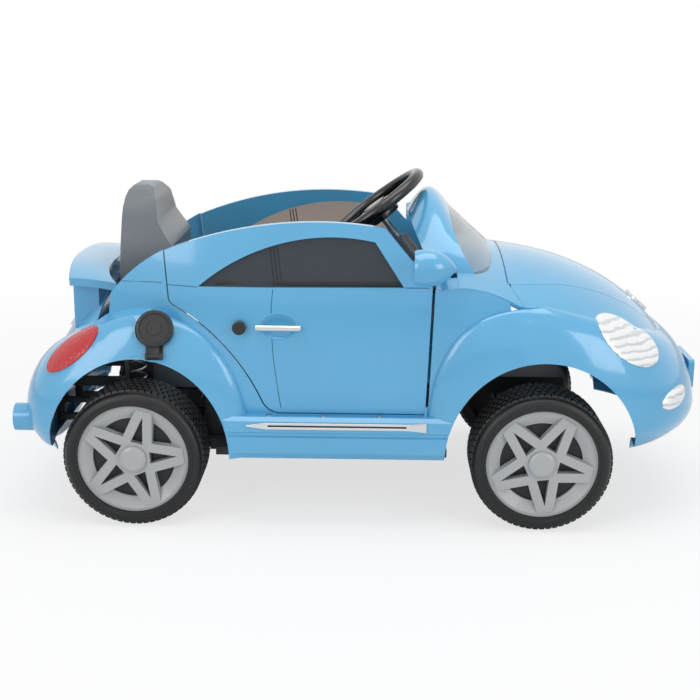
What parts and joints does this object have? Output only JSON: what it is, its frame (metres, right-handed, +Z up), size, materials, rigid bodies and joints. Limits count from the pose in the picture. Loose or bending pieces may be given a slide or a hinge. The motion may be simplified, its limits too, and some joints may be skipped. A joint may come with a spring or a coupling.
{
  "type": "electric ride-on car",
  "caption": "Child's electric ride-on car with rounded moulded body, opening doors, star-pattern wheels, steering, sprung rear swing arm, seat, low windscreen and charging port.",
  "frame": {"origin": "on the ground under the middle of the car's length and width", "axes": "+X towards the nose, +Y to the car's left, +Z up"},
  "size_m": [1.1541, 0.622, 0.5592],
  "materials": {
    "blue_plastic": "gloss",
    "black_plastic": "satin",
    "grey_plastic": "semi-gloss",
    "silver_plastic": "satin silver",
    "tyre_plastic": "matt",
    "chrome_trim": "polished",
    "clear_glazing": "clear",
    "smoked_glazing": "smoked",
    "red_lens": "faceted",
    "mirror_face": "polished",
    "steel": "zinc plated",
    "red_button": "gloss",
    "battery_case": "matt"
  },
  "bodies": {
    "chassis": {"chassis": "black_plastic", "main_body": "blue_plastic", "front_body": "blue_plastic", "bonnet": "blue_plastic", "front_bumper": "blue_plastic", "headlight_lenses": "clear_glazing", "headlight_bowls": "chrome_trim", "fog_lenses": "clear_glazing", "tail_lenses": "red_lens", "badges": "chrome_trim", "windscreen_frame": "blue_plastic", "windscreen_pane": "clear_glazing", "mirror_housings": "blue_plastic", "mirror_glasses": "mirror_face", "rear_spoiler": "blue_plastic", "charge_socket": "black_plastic", "seat": "grey_plastic", "dashboard": "black_plastic", "column_cover": "grey_plastic", "battery": "battery_case", "control_box": "black_plastic", "front_axle_beam": "steel", "sill_trims": "chrome_trim", "sill_screws": "steel", "exhaust_tips": "blue_plastic"},
    "steering": {"steering_wheel": "black_plastic", "steering_shaft": "steel"},
    "horn": {"horn_button": "black_plastic"},
    "tie_rod": {"tie_rod": "steel"},
    "charge_cap": {"charge_cap": "black_plastic"},
    "swing_arm": {"swing_arm": "steel", "rear_axle": "steel", "gearboxes": "black_plastic", "motors": "steel", "springs": "steel"},
    "accelerator": {"accelerator_pedal": "black_plastic"},
    "gear_lever": {"gear_lever": "black_plastic"},
    "power_button": {"power_button": "red_button"},
    "door_right": {"door_right": "blue_plastic", "window_right": "smoked_glazing", "door_handle_right": "chrome_trim"},
    "latch_right": {"latch_knob_right": "black_plastic"},
    "knuckle_right": {"knuckle_right": "steel"},
    "wheel_front_right": {"wheel_front_right": "tyre_plastic", "rim_cover_front_right": "silver_plastic", "hub_cap_front_right": "silver_plastic"},
    "wheel_rear_right": {"wheel_rear_right": "tyre_plastic", "rim_cover_rear_right": "silver_plastic", "hub_cap_rear_right": "silver_plastic"},
    "door_left": {"door_left": "blue_plastic", "window_left": "smoked_glazing", "door_handle_left": "chrome_trim"},
    "latch_left": {"latch_knob_left": "black_plastic"},
    "knuckle_left": {"knuckle_left": "steel"},
    "wheel_front_left": {"wheel_front_left": "tyre_plastic", "rim_cover_front_left": "silver_plastic", "hub_cap_front_left": "silver_plastic"},
    "wheel_rear_left": {"wheel_rear_left": "tyre_plastic", "rim_cover_rear_left": "silver_plastic", "hub_cap_rear_left": "silver_plastic"}
  },
  "joints": [
    {"name": "door_right_hinge", "type": "hinge", "parent": "chassis", "child": "door_right", "pos_m": [0.103, -0.24, 0.188], "axis": [0, 0, 1], "range_deg": [0, 40]},
    {"name": "latch_right_turn", "type": "hinge", "parent": "door_right", "child": "latch_right", "pos_m": [-0.196, -0.24, 0.332], "axis": [0, 1, 0], "range_deg": [-45, 45]},
    {"name": "kingpin_right", "type": "hinge", "parent": "chassis", "child": "knuckle_right", "pos_m": [0.29, -0.15, 0.15], "axis": [0, 0, 1], "range_deg": [-20.1, 20.1]},
    {"name": "wheel_front_right_spin", "type": "hinge", "parent": "knuckle_right", "child": "wheel_front_right", "pos_m": [0.29, -0.219, 0.115], "axis": [0, 1, 0], "continuous": true},
    {"name": "wheel_rear_right_spin", "type": "hinge", "parent": "swing_arm", "child": "wheel_rear_right", "pos_m": [-0.37, -0.219, 0.115], "axis": [0, 1, 0], "continuous": true},
    {"name": "door_left_hinge", "type": "hinge", "parent": "chassis", "child": "door_left", "pos_m": [0.103, 0.24, 0.188], "axis": [0, 0, 1], "range_deg": [-40, 0]},
    {"name": "latch_left_turn", "type": "hinge", "parent": "door_left", "child": "latch_left", "pos_m": [-0.196, 0.24, 0.332], "axis": [0, 1, 0], "range_deg": [-45, 45]},
    {"name": "kingpin_left", "type": "hinge", "parent": "chassis", "child": "knuckle_left", "pos_m": [0.29, 0.15, 0.15], "axis": [0, 0, 1], "range_deg": [-20.1, 20.1]},
    {"name": "wheel_front_left_spin", "type": "hinge", "parent": "knuckle_left", "child": "wheel_front_left", "pos_m": [0.29, 0.219, 0.115], "axis": [0, 1, 0], "continuous": true},
    {"name": "wheel_rear_left_spin", "type": "hinge", "parent": "swing_arm", "child": "wheel_rear_left", "pos_m": [-0.37, 0.219, 0.115], "axis": [0, 1, 0], "continuous": true},
    {"name": "steering_turn", "type": "hinge", "parent": "chassis", "child": "steering", "pos_m": [0.272, 0, 0.153], "axis": [-0.6004, 0, 0.7997], "range_deg": [-33, 33]},
    {"name": "horn_press", "type": "slide", "parent": "steering", "child": "horn", "axis": [-0.6004, 0, 0.7997], "range_m": [-0.003, 0], "stiffness_N_per_m": 600},
    {"name": "tie_rod_slide", "type": "slide", "parent": "chassis", "child": "tie_rod", "axis": [0, 1, 0], "range_m": [-0.0132, 0.0132]},
    {"name": "charge_cap_hinge", "type": "hinge", "parent": "chassis", "child": "charge_cap", "pos_m": [-0.329, -0.27029, 0.28895], "axis": [1, 0, 0], "range_deg": [0, 100]},
    {"name": "swing_arm_pivot", "type": "hinge", "parent": "chassis", "child": "swing_arm", "pos_m": [-0.254, 0, 0.092], "axis": [0, 1, 0], "range_deg": [0, 5], "stiffness_Nm_per_rad": 400, "springref_deg": -4.58, "deforming": ["springs"]},
    {"name": "accelerator_press", "type": "hinge", "parent": "chassis", "child": "accelerator", "pos_m": [0.074, -0.07, 0.127], "axis": [0, 1, 0], "range_deg": [0, 8], "stiffness_Nm_per_rad": 3, "springref_deg": -5.73},
    {"name": "gear_lever_turn", "type": "hinge", "parent": "chassis", "child": "gear_lever", "pos_m": [0.084, -0.06, 0.342], "axis": [0, 1, 0], "range_deg": [-8, 8]},
    {"name": "power_button_press", "type": "slide", "parent": "chassis", "child": "power_button", "axis": [1, 0, 0], "range_m": [0, 0.0025], "stiffness_N_per_m": 800}
  ],
  "couplings": [
    {"joint": "kingpin_right", "follows": "steering_turn", "ratio": 0.606},
    {"joint": "kingpin_left", "follows": "steering_turn", "ratio": 0.606},
    {"joint": "tie_rod_slide", "follows": "steering_turn", "m_per_rad": -0.0226}
  ]
}
